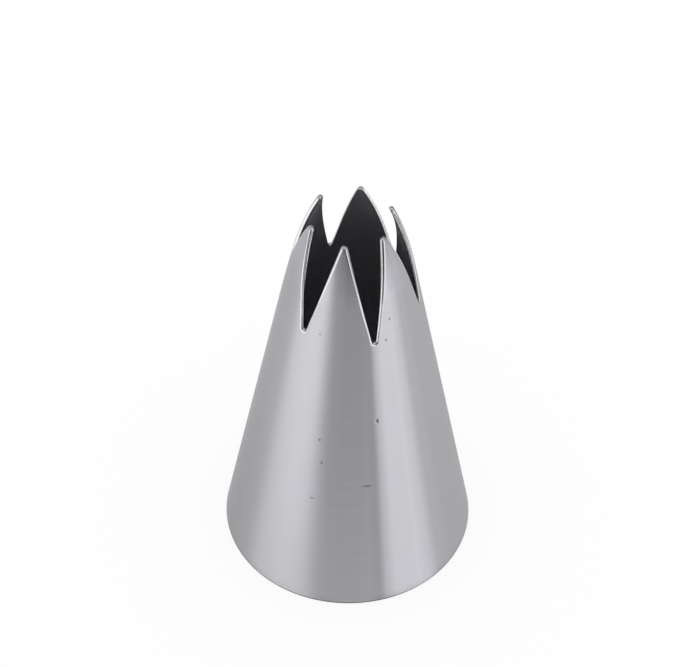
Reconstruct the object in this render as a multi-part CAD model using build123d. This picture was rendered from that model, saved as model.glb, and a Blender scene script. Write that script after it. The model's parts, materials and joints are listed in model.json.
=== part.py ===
from build123d import *
import math
import os

# Open star piping nozzle, drawn in one seamless piece from stainless sheet.
# It stands on its wide end. Millimetres, +Z up, origin at the centre of the base rim,
# with one tooth of the star facing -Y. Sizes are of the outer face, before edges are dressed.

# Overall size
base_diameter = 25.0
tip_edge_height = 44.1
sheet_thickness = 0.45

# Wall: a straight cone, which leaves its slope to turn in over the outlet along one arc
bend_diameter = 12.33
bent_height = 7.1
bend_radius = 36.0

# Star outlet: V notches with round roots leave teeth with round tips
tooth_count = 6
notch_depth = 10.9
notch_root_radius = 0.25
tooth_tip_radius = 0.4
flank_bow = 0.15

# Dressed edges, as shares of the sheet or of the tooth tip that they are worked on
outer_edge_share = 0.65
inner_edge_share = 0.22
rim_edge_share = 0.27
tip_edge_share = 0.75

# How far a cut reaches past the sheet
cut_overrun = 0.3

# Where the outline of half a tooth is set, along each of its stretches
root_turn_shares = (0.0, 0.5, 1.0)
flank_shares = (0.3, 0.7)
tip_turn_shares = (0.0, 0.5, 1.0)

half_pitch = math.pi / tooth_count
base_radius = base_diameter / 2
bend_start_radius = bend_diameter / 2
bend_start_height = tip_edge_height - bent_height
cone_lean = math.atan2(base_radius - bend_start_radius, bend_start_height)
cone_length = math.hypot(base_radius - bend_start_radius, bend_start_height)
bend_centre_radius = bend_start_radius - bend_radius * math.cos(cone_lean)
bend_centre_height = bend_start_height - bend_radius * math.sin(cone_lean)
outer_edge_radius = min(outer_edge_share * sheet_thickness, tip_edge_share * tooth_tip_radius)
inner_edge_radius = inner_edge_share * sheet_thickness
rim_edge_radius = rim_edge_share * sheet_thickness


def distance_to(height):
    """Distance up the outer face, from the base, at which it reaches a height."""
    if height <= bend_start_height:
        return height / math.cos(cone_lean)
    lean = math.asin((height - bend_centre_height) / bend_radius)
    return cone_length + bend_radius * (lean - cone_lean)


def wall_point(distance, offset, angle):
    """A point at a distance up the outer face, set off it outwards, turned about the axis."""
    if distance <= cone_length:
        lean = cone_lean
        radius = base_radius - distance * math.sin(lean)
        height = distance * math.cos(lean)
    else:
        lean = cone_lean + (distance - cone_length) / bend_radius
        radius = bend_centre_radius + bend_radius * math.cos(lean)
        height = bend_centre_height + bend_radius * math.sin(lean)
    radius += offset * math.cos(lean)
    height += offset * math.sin(lean)
    return Vector(radius * math.cos(angle), radius * math.sin(angle), height)


def depth_in_sheet(point):
    """How deep a point lies under the outer face."""
    radius = math.hypot(point.X, point.Y)
    across = radius - bend_centre_radius
    up = point.Z - bend_centre_height
    if math.atan2(up, across) > cone_lean:
        return bend_radius - math.hypot(across, up)
    return (base_radius - radius) * math.cos(cone_lean) - point.Z * math.sin(cone_lean)


def face_line(offset):
    """Half section of the wall face that lies at an offset from the outer face."""
    top = distance_to(tip_edge_height) + cut_overrun
    foot = Vector(base_radius + offset / math.cos(cone_lean), 0, 0)
    start, middle, end = (
        wall_point(distance, offset, 0)
        for distance in (cone_length, (cone_length + top) / 2, top)
    )
    return Wire([Line(foot, start), ThreePointArc(start, middle, end)])


def make_wall_sector():
    """The wall from the middle of a notch to the middle of a tooth, taller than its tooth."""
    outer = face_line(0)
    inner = face_line(-sheet_thickness)
    ends = [Line(outer @ 0, inner @ 0), Line(outer @ 1, inner @ 1)]
    section = make_face(Wire([*outer.edges(), *inner.edges(), *ends]))
    sector = revolve(section, Axis.Z, revolution_arc=math.degrees(half_pitch))
    rim_edges = sector.edges().filter_by(GeomType.CIRCLE).group_by(Axis.Z)[0]
    return fillet(rim_edges, rim_edge_radius)


def circle_points(centre, radius, turns):
    """Points of a circle on the flat sheet, by their turns up from straight down."""
    return [centre + Vector(math.sin(turn), -math.cos(turn)) * radius for turn in turns]


def half_tooth_outline():
    """Half a tooth's outline from notch root to tip, as angles off the notch and distances.

    It is laid out on the flat sheet. A line that touches the root circle and the tip circle
    makes the flank, which bows a little into the tooth.
    """
    root = Vector(0, distance_to(tip_edge_height - notch_depth) + notch_root_radius)
    tip_distance = distance_to(tip_edge_height) - tooth_tip_radius
    tip = Vector(half_pitch * wall_point(tip_distance, 0, 0).X, tip_distance)
    span = tip - root
    touch = math.asin((notch_root_radius + tooth_tip_radius) / span.length)
    flank_turn = math.pi / 2 - math.atan2(span.X, span.Y) + touch
    bow_turn = math.atan(4 * flank_bow / span.length)

    root_turn = flank_turn - bow_turn
    tip_turn = flank_turn + bow_turn
    points = circle_points(root, notch_root_radius, [share * root_turn for share in root_turn_shares])
    foot = points[-1]
    flank = circle_points(tip, -tooth_tip_radius, [tip_turn])[0] - foot
    square = Vector(flank.Y, -flank.X).normalized()
    for share in flank_shares:
        points.append(foot + flank * share + square * (4 * flank_bow * share * (1 - share)))
    outline = [(point.X / wall_point(point.Y, 0, 0).X, point.Y) for point in points]

    tip_turns = [(1 - share) * tip_turn for share in tip_turn_shares]
    for point in circle_points(Vector(0, tip_distance), -tooth_tip_radius, tip_turns):
        outline.append((half_pitch + point.X / wall_point(point.Y, 0, 0).X, point.Y))
    return outline


def star_line(offset):
    """The outline wrapped on to the wall, set off it, and run on past both middles."""
    outline = half_tooth_outline()
    before = [(-angle, distance) for angle, distance in reversed(outline[1:3])]
    after = [(2 * half_pitch - angle, distance) for angle, distance in reversed(outline[-3:-1])]
    return Spline(*[wall_point(distance, offset, angle) for angle, distance in before + outline + after])


def make_half_tooth():
    """Half a tooth with the wall below it, and with the edges of the sheet dressed."""
    star_cut = Face.make_surface_from_curves(
        star_line(cut_overrun), star_line(-sheet_thickness - cut_overrun)
    )
    body = split(make_wall_sector(), bisect_by=star_cut, keep=Keep.BOTTOM)
    outer_edges = body.faces().filter_by(GeomType.BSPLINE).edges().filter_by(
        lambda edge: depth_in_sheet(edge @ 0.5) < sheet_thickness / 4
    )
    body = fillet(outer_edges, outer_edge_radius)
    inner_edges = body.edges().filter_by(GeomType.BSPLINE).filter_by(
        lambda edge: depth_in_sheet(edge @ 0.5) > sheet_thickness - inner_edge_radius / 2
    )
    return fillet(inner_edges, inner_edge_radius)


def make_nozzle():
    """The whole nozzle: one half tooth, mirrored and then patterned round the axis."""
    half_tooth = make_half_tooth()
    tooth_middle = Plane(
        origin=(0, 0, 0), z_dir=(-math.sin(half_pitch), math.cos(half_pitch), 0)
    )
    tooth = half_tooth + mirror(half_tooth, about=tooth_middle)
    first_turn = -90 - math.degrees(half_pitch)
    teeth = [
        Rot(0, 0, first_turn + index * 360 / tooth_count) * tooth
        for index in range(tooth_count)
    ]
    return teeth[0].fuse(*teeth[1:])


nozzle_body = make_nozzle()

os.makedirs("parts", exist_ok=True)
export_step(nozzle_body, "parts/nozzle_body.step")
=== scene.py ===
"""Studio scene of an open star piping nozzle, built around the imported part.

The nozzle is one seamless piece of stainless sheet. Its body is laid out again here as a fine
mesh with smooth faces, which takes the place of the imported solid, and is dressed in the
finishes that drawing, trimming and tumbling leave on such sheet. Everything is in metres, in
the part's own frame: +Z up the axis, origin at the centre of the wide end's rim.
"""

import json
import logging
import math
from dataclasses import dataclass, field
from enum import Enum

import bpy
import numpy as np
from mathutils import Matrix, Vector

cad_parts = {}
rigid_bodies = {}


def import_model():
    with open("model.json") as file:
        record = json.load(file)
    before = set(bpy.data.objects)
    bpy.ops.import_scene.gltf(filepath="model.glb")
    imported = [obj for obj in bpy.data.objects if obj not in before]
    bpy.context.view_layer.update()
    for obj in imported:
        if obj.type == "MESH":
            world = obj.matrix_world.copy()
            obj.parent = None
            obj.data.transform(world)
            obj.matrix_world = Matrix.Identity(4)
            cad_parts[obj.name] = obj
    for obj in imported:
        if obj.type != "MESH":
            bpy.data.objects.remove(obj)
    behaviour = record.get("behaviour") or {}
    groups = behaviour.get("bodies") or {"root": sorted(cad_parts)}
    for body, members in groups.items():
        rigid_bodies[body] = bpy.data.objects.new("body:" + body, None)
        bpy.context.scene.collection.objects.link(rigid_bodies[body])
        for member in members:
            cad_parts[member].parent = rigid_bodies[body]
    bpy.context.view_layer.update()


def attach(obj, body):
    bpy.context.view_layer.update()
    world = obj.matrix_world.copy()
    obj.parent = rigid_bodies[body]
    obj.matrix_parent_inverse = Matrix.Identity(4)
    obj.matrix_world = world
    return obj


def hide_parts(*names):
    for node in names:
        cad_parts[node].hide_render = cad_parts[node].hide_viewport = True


MM = 0.001
FULL_TURN = 2 * math.pi
# Pixels across the picture that the camera's focal length is measured in
IMAGE_WIDTH = 695
# Degrees past any direction, so that a panel of the room has no edge on that side
NO_EDGE = 400.0

log = logging.getLogger("nozzle")


class SheetFace(Enum):
    """Faces of the sheet that are finished differently, the rim with painted shade, in the order of the
    mesh's slots.
    """

    OUTSIDE = 0
    CUT_EDGE = 1
    INSIDE = 2
    RIM = 3


class RayKind(Enum):
    """Outputs of the Light Path node that the studio tells apart."""

    CAMERA = "Is Camera Ray"
    GLOSSY = "Is Glossy Ray"
    TRANSMISSION = "Is Transmission Ray"


def linear_colour(hex_code: str) -> tuple[float, float, float, float]:
    """Turns an sRGB hex colour to the linear values that shaders use.

    Args:
        hex_code: Six hex digits, red, green and blue.

    Returns:
        Linear red, green and blue, with an alpha of 1.
    """
    channels = []
    for place in (0, 2, 4):
        value = int(hex_code[place : place + 2], 16) / 255
        channels.append(value / 12.92 if value <= 0.04045 else ((value + 0.055) / 1.055) ** 2.4)
    return (*channels, 1.0)


def add_node(
    tree: bpy.types.NodeTree,
    kind: str,
    links: dict[str | int, object] | None = None,
    **settings: object,
) -> bpy.types.Node:
    """Adds a node to a tree, with its settings and links.

    Args:
        tree: The node tree to add to.
        kind: The node's Blender type name.
        links: Input socket, by name or number, to an output socket or to a plain value.
        **settings: Properties to set on the node.

    Returns:
        The new node.
    """
    node = tree.nodes.new(kind)
    for name, value in settings.items():
        setattr(node, name, value)
    for socket, source in (links or {}).items():
        if isinstance(source, bpy.types.NodeSocket):
            tree.links.new(source, node.inputs[socket])
        else:
            node.inputs[socket].default_value = source
    return node


@dataclass(frozen=True)
class SurfaceMark:
    """A small mark that handling left on the outside, by its place round and up the wall."""

    bearing: float
    height: float
    width: float
    rise: float
    depth: float

    def centre(self, wall: "NozzleWall") -> tuple[float, float, float]:
        """Finds the middle of the mark on the outer face.

        Args:
            wall: The wall that carries the mark.

        Returns:
            The middle's x, y and z.
        """
        radius, height = wall.section(np.array(wall.distance_to(self.height)), 0.0)
        turn = math.radians(self.bearing)
        return float(radius) * math.cos(turn), float(radius) * math.sin(turn), float(height)


@dataclass(frozen=True)
class SteelFinish:
    """Stainless steel sheet with the marks of how it was worked, each mark darkened in colour as painted
    shade.

    Lengths are real sizes on the sheet. The lines run round the wall, and the highlight is
    stretched square to them by the anisotropy, turned by a share of a full turn.
    """

    name: str
    colour: str
    shade_colour: str
    roughness: float
    roughness_spread: float
    anisotropy: float
    line_pitch: float
    line_length: float
    line_depth: float
    wave_length: float
    wave_depth: float
    marks: tuple[SurfaceMark, ...] = ()
    # Painted shade: the small marks are darkened towards this colour for the shade in their hollows
    pit_shade_colour: str = "8C8C91"
    highlight_turn: float = 0.25
    wave_detail: float = 1.0
    line_detail: float = 3.0
    line_breakup: float = 0.6
    line_contrast: tuple[float, float] = (0.3, 0.7)
    mark_fade: tuple[float, float] = (0.3, 1.0)

    def material(self, wall: "NozzleWall") -> bpy.types.Material:
        """Builds the finish as a node material.

        Args:
            wall: The wall that the marks are placed on.

        Returns:
            The material, ready for a mesh's slot.
        """
        material = bpy.data.materials.new(self.name)
        material.use_nodes = True
        tree = material.node_tree
        tree.nodes.clear()
        place = add_node(tree, "ShaderNodeTexCoord").outputs["Object"]
        lines = self.line_pattern(tree, place)
        waves = add_node(
            tree,
            "ShaderNodeTexNoise",
            {"Vector": place, "Scale": 1 / self.wave_length, "Detail": self.wave_detail},
        ).outputs[0]
        colour = add_node(
            tree,
            "ShaderNodeMix",
            {0: waves, 6: linear_colour(self.shade_colour), 7: linear_colour(self.colour)},
            data_type="RGBA",
        )
        roughness = add_node(
            tree,
            "ShaderNodeMapRange",
            {
                0: lines,
                3: self.roughness + self.roughness_spread,
                4: self.roughness - self.roughness_spread,
            },
        )
        relief = add_node(
            tree,
            "ShaderNodeBump",
            {"Height": waves, "Strength": 1.0, "Distance": self.wave_depth},
        )
        relief = add_node(
            tree,
            "ShaderNodeBump",
            {
                "Height": lines,
                "Strength": 1.0,
                "Distance": self.line_depth,
                "Normal": relief.outputs[0],
            },
        )
        for mark in self.marks:
            hollow = self.mark_pattern(tree, place, mark, wall)
            relief = add_node(
                tree,
                "ShaderNodeBump",
                {"Height": hollow, "Strength": 1.0, "Distance": mark.depth, "Normal": relief.outputs[0]},
            )
            # Painted shade: each mark is darkened in colour as well as dented
            colour = add_node(
                tree,
                "ShaderNodeMix",
                {0: hollow, 6: linear_colour(self.pit_shade_colour), 7: colour.outputs[2]},
                data_type="RGBA",
            )
        around = add_node(tree, "ShaderNodeTangent", direction_type="RADIAL", axis="Z")
        steel = add_node(
            tree,
            "ShaderNodeBsdfPrincipled",
            {
                "Base Color": colour.outputs[2],
                "Metallic": 1.0,
                "Roughness": roughness.outputs[0],
                "Anisotropic": self.anisotropy,
                "Anisotropic Rotation": self.highlight_turn,
                "Tangent": around.outputs[0],
                "Normal": relief.outputs[0],
            },
        )
        add_node(tree, "ShaderNodeOutputMaterial", {"Surface": steel.outputs[0]})
        return material

    def line_pattern(self, tree: bpy.types.NodeTree, place: bpy.types.NodeSocket) -> bpy.types.NodeSocket:
        """Draws the fine lines that working left round the nozzle.

        Args:
            tree: The material's node tree.
            place: The point's place on the nozzle.

        Returns:
            A grey pattern, from 0 in the lines to 1 between them.
        """
        stretched = add_node(
            tree,
            "ShaderNodeMapping",
            {0: place, "Scale": (1 / self.line_length, 1 / self.line_length, 1 / self.line_pitch)},
        )
        noise = add_node(
            tree,
            "ShaderNodeTexNoise",
            {
                "Vector": stretched.outputs[0],
                "Scale": 1.0,
                "Detail": self.line_detail,
                "Roughness": self.line_breakup,
            },
        )
        return add_node(
            tree,
            "ShaderNodeMapRange",
            {0: noise.outputs[0], 1: self.line_contrast[0], 2: self.line_contrast[1]},
            interpolation_type="SMOOTHSTEP",
        ).outputs[0]

    def mark_pattern(
        self,
        tree: bpy.types.NodeTree,
        place: bpy.types.NodeSocket,
        mark: SurfaceMark,
        wall: "NozzleWall",
    ) -> bpy.types.NodeSocket:
        """Draws one small mark.

        Args:
            tree: The material's node tree.
            place: The point's place on the nozzle.
            mark: The mark.
            wall: The wall that it is placed on.

        Returns:
            0 in the mark and 1 off it.
        """
        off = add_node(
            tree,
            "ShaderNodeMapping",
            {
                0: place,
                "Location": mark.centre(wall),
                "Rotation": (0, 0, math.radians(mark.bearing)),
                "Scale": (mark.width, mark.width, mark.rise),
            },
            vector_type="TEXTURE",
        )
        reach = add_node(tree, "ShaderNodeVectorMath", {0: off.outputs[0]}, operation="LENGTH")
        return add_node(
            tree,
            "ShaderNodeMapRange",
            {0: reach.outputs["Value"], 1: self.mark_fade[0], 2: self.mark_fade[1]},
            interpolation_type="SMOOTHSTEP",
        ).outputs[0]


@dataclass
class NozzleWall:
    """The drawn wall: a straight cone that turns in along one arc over the outlet."""

    base_diameter: float = 25.0 * MM
    tip_edge_height: float = 44.1 * MM
    sheet_thickness: float = 0.45 * MM
    bend_diameter: float = 12.33 * MM
    bent_height: float = 7.1 * MM
    bend_radius: float = 36.0 * MM

    def __post_init__(self) -> None:
        """Works out the cone's lean, its length and the bend's centre."""
        self.base_radius = self.base_diameter / 2
        start_radius = self.bend_diameter / 2
        start_height = self.tip_edge_height - self.bent_height
        narrowing = self.base_radius - start_radius
        self.lean = math.atan2(narrowing, start_height)
        self.cone_length = math.hypot(narrowing, start_height)
        self.centre_radius = start_radius - self.bend_radius * math.cos(self.lean)
        self.centre_height = start_height - self.bend_radius * math.sin(self.lean)

    def distance_to(self, height: float) -> float:
        """Finds where the outer face reaches a height.

        Args:
            height: Height above the table.

        Returns:
            Distance up the outer face, from the base.
        """
        if height <= self.tip_edge_height - self.bent_height:
            return height / math.cos(self.lean)
        lean = math.asin((height - self.centre_height) / self.bend_radius)
        return self.cone_length + self.bend_radius * (lean - self.lean)

    def radius_at(self, distance: np.ndarray) -> np.ndarray:
        """Radius of the outer face at distances up it."""
        return self.section(distance, 0.0)[0]

    def section(self, distance: np.ndarray, depth: np.ndarray | float) -> tuple[np.ndarray, np.ndarray]:
        """Places points of the wall in its half section.

        Args:
            distance: Distances up the outer face.
            depth: Depths under the outer face.

        Returns:
            The points' radii and heights.
        """
        bent = np.maximum(distance - self.cone_length, 0.0) / self.bend_radius
        lean = self.lean + bent
        straight = np.minimum(distance, self.cone_length)
        on_cone = distance <= self.cone_length
        radius = np.where(
            on_cone,
            self.base_radius - straight * math.sin(self.lean),
            self.centre_radius + self.bend_radius * np.cos(lean),
        )
        height = np.where(
            on_cone,
            straight * math.cos(self.lean),
            self.centre_height + self.bend_radius * np.sin(lean),
        )
        return radius - depth * np.cos(lean), height - depth * np.sin(lean)


@dataclass(frozen=True)
class PressedTooth:
    """How far one tooth, and the notch before it, came out of the press off the even star.

    Teeth follow one another anticlockwise, seen from above, and shifts round the wall are
    positive that way. The near flank is the one that the tooth's own notch cuts. The roundings
    of its edges are shares of the usual ones, for the outer edges at the root and at the tip.
    """

    name: str
    lean_out: float = 0.0
    notch_aside: float = 0.0
    notch_rise: float = 0.0
    near_middle: float = 0.0
    near_top: float = 0.0
    far_middle: float = 0.0
    far_top: float = 0.0
    near_outer: tuple[float, float] = (1.0, 1.0)
    far_outer: tuple[float, float] = (1.0, 1.0)
    near_inner: float = 1.0
    far_inner: float = 1.0


@dataclass
class StarOutlet:
    """The V notches that leave the teeth, laid out on the flat sheet."""

    tooth_count: int = 6
    notch_depth: float = 10.9 * MM
    notch_root_radius: float = 0.2 * MM
    tooth_tip_radius: float = 0.4 * MM
    flank_bow: float = 0.15 * MM
    root_steps: int = 8
    flank_steps: int = 34
    tip_steps: int = 8
    end_share: float = 0.12
    tip_rounding: float = 1.05
    lean_power: float = 1.5
    teeth: tuple[PressedTooth, ...] = (
        PressedTooth(
            "front",
            notch_aside=-0.2 * MM,
            far_middle=0.08 * MM,
            near_outer=(0.5, 1.0),
            far_outer=(0.6, 1.1),
        ),
        PressedTooth(
            "front_right",
            notch_aside=0.06 * MM,
            notch_rise=-0.25 * MM,
            near_middle=-0.11 * MM,
            near_top=-0.15 * MM,
            far_top=-0.12 * MM,
            near_outer=(1.1, 1.2),
            far_outer=(0.4, 0.6),
        ),
        PressedTooth("back_right", lean_out=-0.06 * MM, near_outer=(0.3, 0.3), far_outer=(0.4, 0.4)),
        PressedTooth(
            "back",
            near_middle=-0.12 * MM,
            near_top=0.06 * MM,
            far_middle=0.06 * MM,
            far_top=-0.05 * MM,
            near_outer=(0.7, 0.7),
            far_outer=(1.2, 1.2),
        ),
        PressedTooth(
            "back_left",
            lean_out=0.14 * MM,
            notch_rise=0.35 * MM,
            near_outer=(0.4, 0.4),
            far_outer=(0.7, 0.8),
            far_inner=1.5,
        ),
        PressedTooth("front_left", lean_out=0.14 * MM, near_outer=(0.4, 0.3), far_outer=(1.2, 0.3)),
    )

    def __post_init__(self) -> None:
        """Works out the angle from a notch's middle to its tooth's middle."""
        self.half_pitch = math.pi / self.tooth_count

    def half_tooth(self, wall: NozzleWall) -> tuple[np.ndarray, np.ndarray]:
        """Traces the cut from the middle of a notch to the middle of a tooth.

        Args:
            wall: The wall that is cut.

        Returns:
            The points' angles off the notch's middle, and their distances up the wall.
        """
        root_distance = wall.distance_to(wall.tip_edge_height - self.notch_depth) + self.notch_root_radius
        tip_distance = wall.distance_to(wall.tip_edge_height) - self.tooth_tip_radius
        tip_across = self.half_pitch * float(wall.section(np.array(tip_distance), 0.0)[0])
        rise = tip_distance - root_distance
        span = math.hypot(tip_across, rise)
        touch = math.asin((self.notch_root_radius + self.tooth_tip_radius) / span)
        flank_turn = math.pi / 2 - math.atan2(tip_across, rise) + touch
        bow_turn = math.atan(4 * self.flank_bow / span)

        root_turns = np.linspace(0, flank_turn - bow_turn, self.root_steps)
        across = self.notch_root_radius * np.sin(root_turns)
        along = root_distance - self.notch_root_radius * np.cos(root_turns)

        tip_turns = np.linspace(flank_turn + bow_turn, 0, self.tip_steps)
        tip_back = self.tooth_tip_radius * np.sin(tip_turns)
        tip_along = tip_distance + self.tooth_tip_radius * np.cos(tip_turns)

        shares = np.linspace(0, 1, self.flank_steps + 1)[1:-1]
        foot = np.array([across[-1], along[-1]])
        flank = np.array([tip_across - tip_back[0], tip_along[0]]) - foot
        square = np.array([flank[1], -flank[0]]) / np.linalg.norm(flank)
        bows = 4 * self.flank_bow * shares * (1 - shares)
        points = foot + shares[:, None] * flank + bows[:, None] * square

        tip_angles = self.half_pitch - tip_back / wall.radius_at(tip_along)
        flank_end = (tip_across - tip_back[0]) / wall.radius_at(tip_along[:1])[0]
        flank_angles = points[:, 0] / wall.radius_at(points[:, 1]) + shares * (tip_angles[0] - flank_end)
        angles = np.concatenate([across / wall.radius_at(along), flank_angles, tip_angles])
        return angles, np.concatenate([along, points[:, 1], tip_along])

    def full_ring(self, wall: NozzleWall) -> tuple[np.ndarray, np.ndarray, np.ndarray, np.ndarray]:
        """Traces the whole cut, tooth by tooth, each with what it is off the even star.

        Args:
            wall: The wall that is cut.

        Returns:
            Angles about the axis, from +X, distances up the wall, and how much of their usual
            rounding the outer and inner edges have there.
        """
        angles, distances = self.half_tooth(wall)
        shares = (distances - distances[0]) / (distances[-1] - distances[0])
        root, middle, top = (1 - shares) ** 2, 4 * shares * (1 - shares), shares**2
        radius = wall.radius_at(distances)
        flanks = []
        for index, tooth in enumerate(self.teeth):
            notch = -math.pi / 2 - self.half_pitch + 2 * self.half_pitch * index
            last, following = self.teeth[index - 1], self.teeth[(index + 1) % self.tooth_count]
            near_shift = tooth.notch_aside * root + tooth.near_middle * middle + tooth.near_top * top
            far_shift = following.notch_aside * root + tooth.far_middle * middle + tooth.far_top * top
            near = angles + near_shift / radius
            far = 2 * self.half_pitch - angles + far_shift / radius
            # The two flanks meet in one tip
            near[-1] = 0.5 * (near[-1] + far[-1])
            near_rounding = self.blend(
                self.roundings(tooth.near_outer, tooth.near_inner, shares),
                self.roundings(last.far_outer, last.far_inner, shares),
                shares,
            )
            far_rounding = self.blend(
                self.roundings(tooth.far_outer, tooth.far_inner, shares),
                self.roundings(following.near_outer, following.near_inner, shares),
                shares,
            )
            flanks.append([notch + near, distances + tooth.notch_rise * root, *near_rounding])
            flank = [notch + far, distances + following.notch_rise * root, *far_rounding]
            flanks.append([values[-2:0:-1] for values in flank])
        return tuple(np.concatenate(values) for values in zip(*flanks))

    def roundings(self, outer: tuple[float, float], inner: float, shares: np.ndarray) -> np.ndarray:
        """Lays out how much the two edges of a flank are rounded, from its root to its tip."""
        return np.stack([outer[0] + shares * (outer[1] - outer[0]), inner + 0 * shares])

    def blend(self, own: np.ndarray, beside: np.ndarray, shares: np.ndarray) -> np.ndarray:
        """Runs a flank's roundings into those of the flank across the notch, and of the tip.

        Args:
            own: The flank's own roundings.
            beside: Those of the flank across the notch, met halfway at the root.
            shares: Places along the flank, from 0 at the root to 1 at the tip.

        Returns:
            The flank's roundings.
        """
        at_root = np.clip(1 - shares / self.end_share, 0, 1)
        at_tip = np.clip(1 - (1 - shares) / self.end_share, 0, 1)
        return own + 0.5 * at_root * (beside - own) + at_tip * (self.tip_rounding - own)

    def lean_at(self, angle: np.ndarray, height: np.ndarray, wall: NozzleWall) -> np.ndarray:
        """Finds how far the teeth lean out of the even star.

        Args:
            angle: Angles about the axis.
            height: Heights above the table.
            wall: The wall that the teeth are part of.

        Returns:
            Shifts of the points away from the axis.
        """
        first = -math.pi / 2 - self.half_pitch
        pitches = ((angle - first) % FULL_TURN) / (2 * self.half_pitch)
        index = np.floor(pitches).astype(int) % self.tooth_count
        leans = np.array([tooth.lean_out for tooth in self.teeth])[index]
        root = wall.tip_edge_height - self.notch_depth
        return leans * np.clip((height - root) / self.notch_depth, 0, 1) ** self.lean_power


@dataclass
class NozzleBody:
    """The whole nozzle, as one closed mesh of rings between columns that follow the star."""

    wall: NozzleWall = field(default_factory=NozzleWall)
    outlet: StarOutlet = field(default_factory=StarOutlet)
    outer_edge_radius: float = 0.29 * MM
    inner_edge_radius: float = 0.1 * MM
    rim_edge_radius: float = 0.22 * MM
    # Below this height the rings are level, and above it they follow the star
    even_height: float = 31.0 * MM
    even_rows: int = 36
    tooth_rows: int = 36
    arc_rows: int = 7

    def edge_profile(
        self, outer_share: np.ndarray, inner_share: np.ndarray
    ) -> tuple[np.ndarray, np.ndarray]:
        """Traces the dressed edge across the sheet, from the outer face to the inner one.

        Args:
            outer_share: For each column, how much of its usual rounding the outer edge has.
            inner_share: The same for the inner edge.

        Returns:
            Insets from the cut, and depths under the outer face, as rows of columns.
        """
        quarter = np.linspace(0, math.pi / 2, self.arc_rows)[:, None]
        thickness = self.wall.sheet_thickness
        outer = self.outer_edge_radius * outer_share[None, :]
        inner = self.inner_edge_radius * inner_share[None, :]
        insets = [outer * (1 - np.sin(quarter)), inner * (1 - np.cos(quarter))]
        depths = [outer * (1 - np.cos(quarter)), thickness - inner * (1 - np.sin(quarter))]
        return np.concatenate(insets), np.concatenate(depths)

    def rim_profile(self) -> tuple[np.ndarray, np.ndarray]:
        """Traces the dressed rim that the nozzle stands on, from the inner face to the outer.

        Returns:
            Radii and heights.
        """
        wall, edge = self.wall, self.rim_edge_radius
        slope = math.tan(wall.lean)
        outer_centre = wall.base_radius - edge * slope - edge / math.cos(wall.lean)
        inner_edge = self.inner_edge_radius
        inner_centre = (
            wall.base_radius
            - inner_edge * slope
            - (wall.sheet_thickness - inner_edge) / math.cos(wall.lean)
        )
        inner_turns = np.linspace(-math.pi + wall.lean, -math.pi / 2, self.arc_rows)[1:]
        outer_turns = np.linspace(-math.pi / 2, wall.lean, self.arc_rows)[:-1]
        radii = [
            inner_centre + inner_edge * np.cos(inner_turns),
            outer_centre + edge * np.cos(outer_turns),
        ]
        heights = [inner_edge * (1 + np.sin(inner_turns)), edge * (1 + np.sin(outer_turns))]
        return np.concatenate(radii), np.concatenate(heights)

    def wall_rows(self, start: float, top: np.ndarray) -> np.ndarray:
        """Spaces rows up the wall: level ones to a set height, and then ones that follow the star.

        Args:
            start: Distance of the lowest row.
            top: Distance of the highest row, for each column.

        Returns:
            Distances, one row of columns for each ring.
        """
        even_top = self.wall.distance_to(self.even_height)
        level = np.linspace(start, even_top, self.even_rows, endpoint=False)[:, None] + 0 * top[None, :]
        shares = np.linspace(0, 1, self.tooth_rows)[:, None]
        return np.vstack([level, even_top + shares * (top[None, :] - even_top)])

    def inset_cut(self, inset: np.ndarray | float) -> tuple[np.ndarray, np.ndarray]:
        """Moves the star's cut into the sheet.

        Args:
            inset: How far it moves, square to itself, for each column.

        Returns:
            Angles and distances up the wall.
        """
        angles, distances = self.outlet.full_ring(self.wall)[:2]
        radius = self.wall.radius_at(distances)
        steps_round = (np.roll(angles, -1) - np.roll(angles, 1)) % FULL_TURN * radius
        steps_up = np.roll(distances, -1) - np.roll(distances, 1)
        lengths = np.hypot(steps_round, steps_up)
        return angles + inset * steps_up / lengths / radius, distances - inset * steps_round / lengths

    def wall_face(self, start: float, inset: np.ndarray, depth: float) -> np.ndarray:
        """Lays out one face of the wall, from near the rim up to its dressed edge.

        Args:
            start: Distance of the lowest row.
            inset: How far the face stops short of the cut, for each column.
            depth: Depth of the face under the outer one.

        Returns:
            Points, as rings by columns by coordinates.
        """
        angles, _ = self.inset_cut(0.0)
        top_angles, top = self.inset_cut(inset)
        even_top = self.wall.distance_to(self.even_height)
        rows = self.wall_rows(start, top)
        shares = np.clip((rows - even_top) / (top - even_top), 0, 1)
        return self.place(rows, depth, angles + shares * (top_angles - angles))

    def rings(self) -> tuple[np.ndarray, list[SheetFace]]:
        """Lays out every ring, up the outside, over the cut edge, down the inside and round the rim.

        Returns:
            Points as rings by columns by coordinates, and the face that each ring starts.
        """
        wall, edge = self.wall, self.rim_edge_radius
        insets, depths = self.edge_profile(*self.outlet.full_ring(wall)[2:])
        outer_start = edge * (1 + math.sin(wall.lean)) / math.cos(wall.lean)
        inner_start = (
            self.inner_edge_radius * (1 - math.sin(wall.lean))
            + wall.sheet_thickness * math.sin(wall.lean)
        ) / math.cos(wall.lean)
        outside = self.wall_face(outer_start, insets[0], 0.0)
        cut_places = [self.inset_cut(inset) for inset in insets[1:-1]]
        cut = np.stack(
            [
                self.place(distances, depth, angles)
                for (angles, distances), depth in zip(cut_places, depths[1:-1])
            ]
        )
        inside = self.wall_face(inner_start, insets[-1], wall.sheet_thickness)[::-1]
        radii, heights = self.rim_profile()
        angles, _ = self.inset_cut(0.0)
        rim = np.stack(
            [
                radii[:, None] * np.cos(angles),
                radii[:, None] * np.sin(angles),
                heights[:, None] + 0 * angles,
            ],
            axis=-1,
        )
        faces = [SheetFace.OUTSIDE] * (len(outside) - 1)
        faces += [SheetFace.CUT_EDGE] * (len(cut) + 1)
        faces += [SheetFace.INSIDE] * (len(inside) - 1)
        faces += [SheetFace.RIM] * (len(rim) + 1)
        return np.concatenate([outside, cut, inside, rim]), faces

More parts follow.
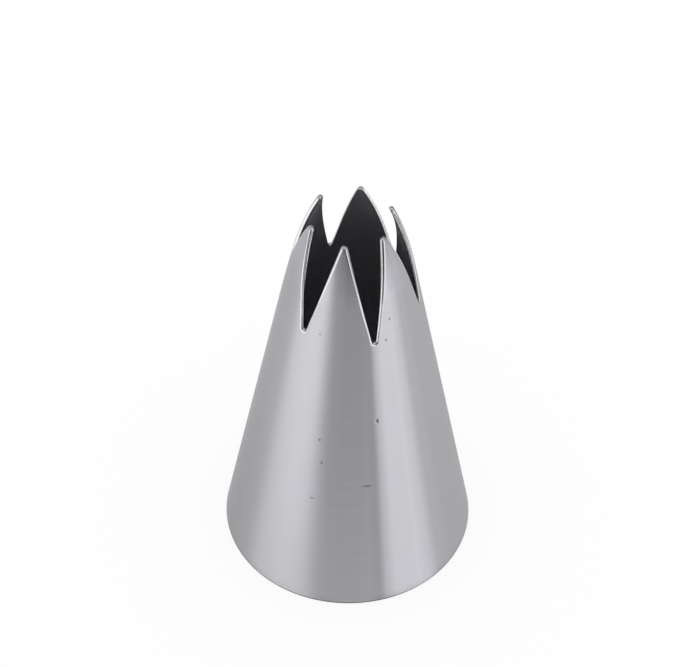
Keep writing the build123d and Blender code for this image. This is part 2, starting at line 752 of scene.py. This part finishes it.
    def place(self, distance: np.ndarray, depth: np.ndarray | float, angle: np.ndarray) -> np.ndarray:
        """Turns distances up the wall, a depth and angles about the axis into points.

        Args:
            distance: Distances up the outer face.
            depth: Depth under it.
            angle: Angles about the axis.

        Returns:
            The points, with the lean of each tooth in them.
        """
        radius, height = self.wall.section(distance, depth)
        radius = radius + self.outlet.lean_at(angle, height, self.wall)
        return np.stack([radius * np.cos(angle), radius * np.sin(angle), height], axis=-1)

    def build(self) -> bpy.types.Object:
        """Builds the closed mesh.

        Returns:
            The nozzle, not dressed yet.
        """
        points, faces = self.rings()
        ring_count, column_count = points.shape[:2]
        ring, column = np.divmod(np.arange(ring_count * column_count), column_count)
        next_ring, next_column = (ring + 1) % ring_count, (column + 1) % column_count
        quads = np.stack(
            [
                ring * column_count + column,
                ring * column_count + next_column,
                next_ring * column_count + next_column,
                next_ring * column_count + column,
            ],
            axis=-1,
        )
        mesh = bpy.data.meshes.new("nozzle_body_skin")
        mesh.from_pydata(points.reshape(-1, 3), [], quads.tolist())
        slots = np.repeat([face.value for face in faces], column_count)
        mesh.polygons.foreach_set("material_index", slots)
        mesh.shade_smooth()
        mesh.validate()
        body = bpy.data.objects.new("nozzle_body_skin", mesh)
        bpy.context.scene.collection.objects.link(body)
        return body

    def dress(self, body: bpy.types.Object, finishes: dict[SheetFace, SteelFinish]) -> None:
        """Gives each face of the sheet its finish.

        Args:
            body: The nozzle's mesh object.
            finishes: The finish of each face.
        """
        for face in SheetFace:
            body.data.materials.append(finishes[face].material(self.wall))

    def fit(self, body: bpy.types.Object) -> None:
        """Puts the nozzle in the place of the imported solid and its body.

        Args:
            body: The nozzle's mesh object.
        """
        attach(body, "root")
        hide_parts("nozzle_body")


@dataclass(frozen=True)
class RoomPanel:
    """A soft-edged part of the room that the metal reflects.

    The left and right edges are bearings, in degrees round from the front of the studio to its
    right, and the bottom and top ones are elevations, in degrees above the horizon. Each edge
    is the middle of a blur.
    """

    name: str
    level: float
    left: float
    right: float
    bottom: float
    top: float
    left_blur: float = 10.0
    right_blur: float = 10.0
    bottom_blur: float = 6.0
    top_blur: float = 6.0

    def mask(
        self, tree: bpy.types.NodeTree, bearing: bpy.types.NodeSocket, elevation: bpy.types.NodeSocket
    ) -> bpy.types.NodeSocket:
        """Draws where the panel is.

        Args:
            tree: The world's node tree.
            bearing: The bearing of the ray, in degrees.
            elevation: Its elevation, in degrees.

        Returns:
            1 on the panel and 0 off it.
        """
        edges = (
            (bearing, self.left, self.left_blur, 0.0, 1.0),
            (bearing, self.right, self.right_blur, 1.0, 0.0),
            (elevation, self.bottom, self.bottom_blur, 0.0, 1.0),
            (elevation, self.top, self.top_blur, 1.0, 0.0),
        )
        mask = None
        for direction, middle, blur, before, after in edges:
            edge = add_node(
                tree,
                "ShaderNodeMapRange",
                {0: direction, 1: middle - blur / 2, 2: middle + blur / 2, 3: before, 4: after},
                interpolation_type="SMOOTHSTEP",
            ).outputs[0]
            if mask is not None:
                edge = add_node(tree, "ShaderNodeMath", {0: mask, 1: edge}, operation="MULTIPLY").outputs[0]
            mask = edge
        return mask


@dataclass
class Studio:
    """A white table in a white room, with the dark and bright parts that the metal reflects.

    The front is the side that the camera stands on. Each pair of tints is painted shade and light on the
    table's reflection: how much of the room's level it keeps near the nozzle and far from it, on that side.
    """

    floor_radius: float = 3.0
    foot_radius: float = 12.2 * MM
    front_azimuth: float = 10.42
    floor_glow: float = 0.85
    open_level: float = 0.45
    near_table: float = 13.0 * MM
    far_table: float = 60.0 * MM
    front_half_width: float = 32.0
    side_blur: float = 24.0
    front_tints: tuple[float, float] = (0.98, 0.83)
    left_tints: tuple[float, float] = (0.96, 1.12)
    right_tints: tuple[float, float] = (0.97, 0.99)
    panels: tuple[RoomPanel, ...] = (
        RoomPanel("ceiling", 0.7, -NO_EDGE, NO_EDGE, 52, NO_EDGE, bottom_blur=12),
        RoomPanel(
            "dark_above_left", 0.06, -NO_EDGE, -138, 16, 50, right_blur=24, bottom_blur=8, top_blur=12
        ),
        RoomPanel(
            "dark_above_right", 0.06, 143, NO_EDGE, 16, 50, left_blur=15, bottom_blur=8, top_blur=12
        ),
        RoomPanel("rear_strip", 1.25, -NO_EDGE, NO_EDGE, -30, -20, top_blur=8),
        RoomPanel("strip_left", 0.71, -142, -84, -28, -23, left_blur=14, right_blur=19, top_blur=8),
        RoomPanel("strip_right", 1.15, 84, 152, -34, -12, left_blur=20, right_blur=14, top_blur=8),
        RoomPanel("table_behind_left", 0.58, -NO_EDGE, -59, -NO_EDGE, -32, right_blur=30, top_blur=8),
        RoomPanel("shade_behind_left", 0.44, -NO_EDGE, -119, -46, -38, right_blur=19),
        RoomPanel("table_behind_right", 0.56, 62, NO_EDGE, -NO_EDGE, -36, left_blur=14, top_blur=8),
        RoomPanel("wall_behind_left", 0.79, -NO_EDGE, -134, -38, 17, right_blur=40),
        RoomPanel("wall_behind_right", 0.32, 89, NO_EDGE, -21, 11, left_blur=15),
        RoomPanel("behind_left", 0.5, -NO_EDGE, -168, -NO_EDGE, 22, right_blur=24),
        RoomPanel("behind_right", 0.5, 168, NO_EDGE, -NO_EDGE, 22, left_blur=24),
        RoomPanel(
            "table_left", 1.58, -76, -28, -NO_EDGE, -42, left_blur=42, right_blur=22, top_blur=10
        ),
        RoomPanel("softbox_left", 1.26, -86, -33, -25, 25, left_blur=22, right_blur=14, bottom_blur=10),
        RoomPanel("table_right", 1.15, 43, 88, -NO_EDGE, -37, left_blur=5, right_blur=6, top_blur=8),
        RoomPanel(
            "glow_right", 1.26, 63, 80, -39, -19, left_blur=6, right_blur=12, bottom_blur=10, top_blur=8
        ),
        RoomPanel("softbox_right", 1.27, 31, 62, -28, 37, left_blur=4, right_blur=13, bottom_blur=8),
        RoomPanel("table_front", 0.86, -13, 25, -NO_EDGE, -23, left_blur=25, right_blur=9),
        RoomPanel("dim_front", 0.3, -10, 29.5, -23, -11, left_blur=11, right_blur=4),
        RoomPanel("dark_front", 0.08, -34, 20, -11, 42, left_blur=61, right_blur=10),
        RoomPanel("shade_under_rim", 0.04, -NO_EDGE, NO_EDGE, -NO_EDGE, -52, top_blur=12),
    )

    def flat_ring(self, name: str, inner: float, outer: float, sides: int = 128) -> bpy.types.Object:
        """Builds a flat ring, or a disc where the inner radius is zero.

        Args:
            name: The object's name.
            inner: Inner radius.
            outer: Outer radius.
            sides: Number of sides.

        Returns:
            The flat object, marked as part of the stage.
        """
        turns = [FULL_TURN * side / sides for side in range(sides)]
        radii = [radius for radius in (inner, outer) if radius]
        points = [
            (radius * math.cos(turn), radius * math.sin(turn), 0) for radius in radii for turn in turns
        ]
        faces = [tuple(range(sides))]
        if inner:
            after = [*range(1, sides), 0]
            faces = [(side, after[side], sides + after[side], sides + side) for side in range(sides)]
        mesh = bpy.data.meshes.new(name)
        mesh.from_pydata(points, [], faces)
        ring = bpy.data.objects.new(name, mesh)
        bpy.context.scene.collection.objects.link(ring)
        return ring

    def painted_table_shade(self, tree: bpy.types.NodeTree) -> bpy.types.NodeSocket:
        """Paints shade and light into the table's reflection: a painted shadow round the foot of the
        nozzle, and painted darker or lighter reaches farther out on each side.

        Args:
            tree: The table's node tree.

        Returns:
            How much of the room's level the reflection keeps.
        """
        place = add_node(tree, "ShaderNodeTexCoord").outputs["Object"]
        away = add_node(tree, "ShaderNodeVectorMath", {0: place}, operation="LENGTH").outputs["Value"]
        reach = add_node(
            tree,
            "ShaderNodeMapRange",
            {0: away, 1: self.near_table, 2: self.far_table},
            interpolation_type="SMOOTHSTEP",
        ).outputs[0]
        bearing, _ = self.directions(tree, place)
        near, far = self.front_tints
        shade = add_node(tree, "ShaderNodeMapRange", {0: reach, 3: near, 4: far})
        for side, (near, far) in ((-1, self.left_tints), (1, self.right_tints)):
            beside = add_node(
                tree,
                "ShaderNodeMapRange",
                {
                    0: bearing,
                    1: side * (self.front_half_width - self.side_blur / 2),
                    2: side * (self.front_half_width + self.side_blur / 2),
                },
                interpolation_type="SMOOTHSTEP",
            )
            tint = add_node(tree, "ShaderNodeMapRange", {0: reach, 3: near, 4: far})
            shade = add_node(
                tree,
                "ShaderNodeMix",
                {0: beside.outputs[0], 2: shade.outputs[0], 3: tint.outputs[0]},
                data_type="FLOAT",
            )
        return shade.outputs[0]

    def table_material(self, name: str, is_filter: bool) -> bpy.types.Material:
        """Builds the white of the table, which keeps a soft shadow of the nozzle.

        Args:
            name: The material's name.
            is_filter: Whether reflections pass through it to the room, shaded.

        Returns:
            The material.
        """
        material = bpy.data.materials.new(name)
        material.use_nodes = True
        tree = material.node_tree
        tree.nodes.clear()
        path = add_node(tree, "ShaderNodeLightPath")
        matt = add_node(tree, "ShaderNodeBsdfDiffuse", {"Color": linear_colour("FFFFFF")})
        white = add_node(tree, "ShaderNodeEmission", {"Color": linear_colour("FFFFFF"), "Strength": 1.0})
        share = add_node(
            tree,
            "ShaderNodeMath",
            {0: path.outputs[RayKind.CAMERA.value], 1: self.floor_glow},
            operation="MULTIPLY",
        )
        surface = add_node(
            tree, "ShaderNodeMixShader", {0: share.outputs[0], 1: matt.outputs[0], 2: white.outputs[0]}
        )
        # Reflections see the room through the table, tinted by its painted shade
        if is_filter:
            clear = add_node(tree, "ShaderNodeBsdfTransparent", {"Color": self.painted_table_shade(tree)})
            surface = add_node(
                tree,
                "ShaderNodeMixShader",
                {0: self.mirrored(tree, path), 1: surface.outputs[0], 2: clear.outputs[0]},
            )
        add_node(tree, "ShaderNodeOutputMaterial", {"Surface": surface.outputs[0]})
        return material

    def mirrored(self, tree: bpy.types.NodeTree, path: bpy.types.Node) -> bpy.types.NodeSocket:
        """Tells rays that come off or through something from those of the camera and the lamps.

        Args:
            tree: The node tree to add to.
            path: Its Light Path node.

        Returns:
            1 for such a ray and 0 for the others.
        """
        rays = {0: path.outputs[RayKind.GLOSSY.value], 1: path.outputs[RayKind.TRANSMISSION.value]}
        return add_node(tree, "ShaderNodeMath", rays, operation="MAXIMUM").outputs[0]

    def build_floor(self) -> None:
        """Lays the table top, and the part of it that the nozzle stands over."""
        table = self.flat_ring("table_top", self.foot_radius, self.floor_radius)
        table.data.materials.append(self.table_material("white_table_top", True))
        table.visible_shadow = False
        foot = self.flat_ring("table_under_nozzle", 0.0, self.foot_radius)
        foot.data.materials.append(self.table_material("white_table_under_nozzle", False))

    def directions(
        self, tree: bpy.types.NodeTree, away: bpy.types.NodeSocket
    ) -> tuple[bpy.types.NodeSocket, bpy.types.NodeSocket]:
        """Turns a direction from the nozzle into its bearing and elevation.

        Args:
            tree: The node tree to add to.
            away: The direction, or a place on the table.

        Returns:
            The bearing off the front and the elevation, in degrees.
        """
        axes = add_node(tree, "ShaderNodeSeparateXYZ", {0: away})
        front = add_node(tree, "ShaderNodeMath", {0: axes.outputs[1], 1: -1.0}, operation="MULTIPLY")
        turn = add_node(
            tree, "ShaderNodeMath", {0: axes.outputs[0], 1: front.outputs[0]}, operation="ARCTAN2"
        )
        degrees = add_node(tree, "ShaderNodeMath", {0: turn.outputs[0]}, operation="DEGREES")
        off = add_node(
            tree, "ShaderNodeMath", {0: degrees.outputs[0], 1: self.front_azimuth}, operation="SUBTRACT"
        )
        bearing = add_node(
            tree, "ShaderNodeMath", {0: off.outputs[0], 1: 180.0, 2: -180.0}, operation="WRAP"
        )
        rise = add_node(tree, "ShaderNodeMath", {0: axes.outputs[2]}, operation="ARCSINE")
        elevation = add_node(tree, "ShaderNodeMath", {0: rise.outputs[0]}, operation="DEGREES")
        return bearing.outputs[0], elevation.outputs[0]

    def build_room(self) -> None:
        """Makes the room: plain white as a light and as a background, with panels in reflections."""
        world = bpy.data.worlds.new("white_room")
        bpy.context.scene.world = world
        world.use_nodes = True
        tree = world.node_tree
        tree.nodes.clear()
        ray = add_node(tree, "ShaderNodeTexCoord").outputs["Generated"]
        bearing, elevation = self.directions(tree, ray)
        level = self.open_level
        for panel in self.panels:
            level = add_node(
                tree,
                "ShaderNodeMix",
                {0: panel.mask(tree, bearing, elevation), 2: level, 3: panel.level},
                data_type="FLOAT",
                label=panel.name,
            ).outputs[0]
        white = add_node(tree, "ShaderNodeBackground", {"Color": linear_colour("FFFFFF"), "Strength": 1.0})
        panelled = add_node(
            tree, "ShaderNodeBackground", {"Color": linear_colour("FFFFFF"), "Strength": level}
        )
        path = add_node(tree, "ShaderNodeLightPath")
        mix = add_node(
            tree,
            "ShaderNodeMixShader",
            {0: self.mirrored(tree, path), 1: white.outputs[0], 2: panelled.outputs[0]},
        )
        add_node(tree, "ShaderNodeOutputWorld", {"Surface": mix.outputs[0]})

    def build(self) -> None:
        """Builds the floor and the room."""
        self.build_floor()
        self.build_room()


@dataclass
class CameraStand:
    """The camera, by where it stands round the nozzle and how it is turned."""

    azimuth: float = math.radians(10.42)
    reach: float = 290.5 * MM
    height: float = 353.9 * MM
    pan: float = -0.0010
    tilt: float = 0.8440
    roll: float = 0.0162
    focal_pixels: float = 4439.4
    sensor_width: float = 36.0

    def build(self) -> bpy.types.Object:
        """Places the camera and makes it the scene's own.

        Returns:
            The camera object.
        """
        heading = self.azimuth - self.pan
        forward = Vector(
            (
                -math.sin(heading) * math.cos(self.tilt),
                math.cos(heading) * math.cos(self.tilt),
                -math.sin(self.tilt),
            )
        )
        level = Vector((math.cos(heading), math.sin(heading), 0))
        upright = level.cross(forward)
        right = level * math.cos(self.roll) + upright * math.sin(self.roll)
        up = upright * math.cos(self.roll) - level * math.sin(self.roll)
        data = bpy.data.cameras.new("camera")
        data.sensor_width = self.sensor_width
        data.lens = self.focal_pixels * self.sensor_width / IMAGE_WIDTH
        camera = bpy.data.objects.new("camera", data)
        camera.matrix_world = Matrix((right, up, -forward)).transposed().to_4x4()
        camera.location = (
            self.reach * math.sin(self.azimuth),
            -self.reach * math.cos(self.azimuth),
            self.height,
        )
        bpy.context.scene.collection.objects.link(camera)
        bpy.context.scene.camera = camera
        return camera


FINISHES = {
    # Drawn and tumbled face: bands of light stay sharp round the cone and smear along it, with
    # faint lines round the wall. The real lines are finer, and are drawn as coarse as they show.
    SheetFace.OUTSIDE: SteelFinish(
        name="satin_drawn_stainless",
        colour="CFCED6",
        shade_colour="CFCDD0",
        roughness=0.255,
        roughness_spread=0.005,
        anisotropy=1.0,
        line_pitch=0.5 * MM,
        line_length=14.0 * MM,
        line_depth=0.0025 * MM,
        wave_length=7.0 * MM,
        wave_depth=0.009 * MM,
        # Pits, dings and short scratches: bearing, height, and then width, rise and depth
        marks=(
            SurfaceMark(-98.0, 20.9 * MM, 0.16 * MM, 0.16 * MM, 0.03 * MM),
            SurfaceMark(-95.6, 18.1 * MM, 0.17 * MM, 0.15 * MM, 0.03 * MM),
            SurfaceMark(-60.7, 23.4 * MM, 0.2 * MM, 0.36 * MM, 0.03 * MM),
            SurfaceMark(-68.5, 15.4 * MM, 0.55 * MM, 0.1 * MM, 0.012 * MM),
            SurfaceMark(-99.9, 13.3 * MM, 0.3 * MM, 0.08 * MM, 0.012 * MM),
            SurfaceMark(-49.4, 33.0 * MM, 0.12 * MM, 0.25 * MM, 0.012 * MM),
            SurfaceMark(-44.2, 35.3 * MM, 0.1 * MM, 0.3 * MM, 0.012 * MM),
            SurfaceMark(-105.5, 33.8 * MM, 0.13 * MM, 0.13 * MM, 0.01 * MM),
        ),
    ),
    # Cut and tumbled edge: nearly a mirror, broken up by the grain of the sheared steel
    SheetFace.CUT_EDGE: SteelFinish(
        name="tumbled_cut_stainless",
        colour="DAD9DC",
        shade_colour="D2D1D4",
        roughness=0.09,
        roughness_spread=0.03,
        anisotropy=0.0,
        line_pitch=0.4 * MM,
        line_length=0.6 * MM,
        line_depth=0.004 * MM,
        wave_length=1.2 * MM,
        wave_depth=0.01 * MM,
    ),
    # Inner face: duller, with the long soft lines that the drawing punch leaves
    SheetFace.INSIDE: SteelFinish(
        name="plain_drawn_stainless",
        colour="BABAC0",
        shade_colour="B2B2B9",
        roughness=0.46,
        roughness_spread=0.04,
        anisotropy=0.4,
        line_pitch=3.0 * MM,
        line_length=0.8 * MM,
        line_depth=0.001 * MM,
        wave_length=6.0 * MM,
        wave_depth=0.01 * MM,
    ),
    # Rim that the nozzle stands on: duller, and painted dark grey for the shade where it meets the table,
    # so that it ends in a thin dark line
    SheetFace.RIM: SteelFinish(
        name="rim_painted_contact_shade",
        colour="6E6E72",
        shade_colour="626266",
        roughness=0.3,
        roughness_spread=0.05,
        anisotropy=0.0,
        line_pitch=0.4 * MM,
        line_length=3.0 * MM,
        line_depth=0.002 * MM,
        wave_length=2.0 * MM,
        wave_depth=0.005 * MM,
    ),
}


def main() -> None:
    """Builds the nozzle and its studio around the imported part."""
    logging.basicConfig(level=logging.INFO, format="%(name)s: %(message)s")
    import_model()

    nozzle = NozzleBody()
    body = nozzle.build()
    nozzle.dress(body, FINISHES)
    nozzle.fit(body)
    teeth = ", ".join(tooth.name for tooth in nozzle.outlet.teeth)
    log.info("nozzle_body: %d faces, teeth %s", len(body.data.polygons), teeth)

    Studio().build()
    CameraStand().build()
    bpy.context.scene.view_settings.view_transform = "Standard"
    log.info("studio and camera are in place")


if __name__ == "__main__":
    main()
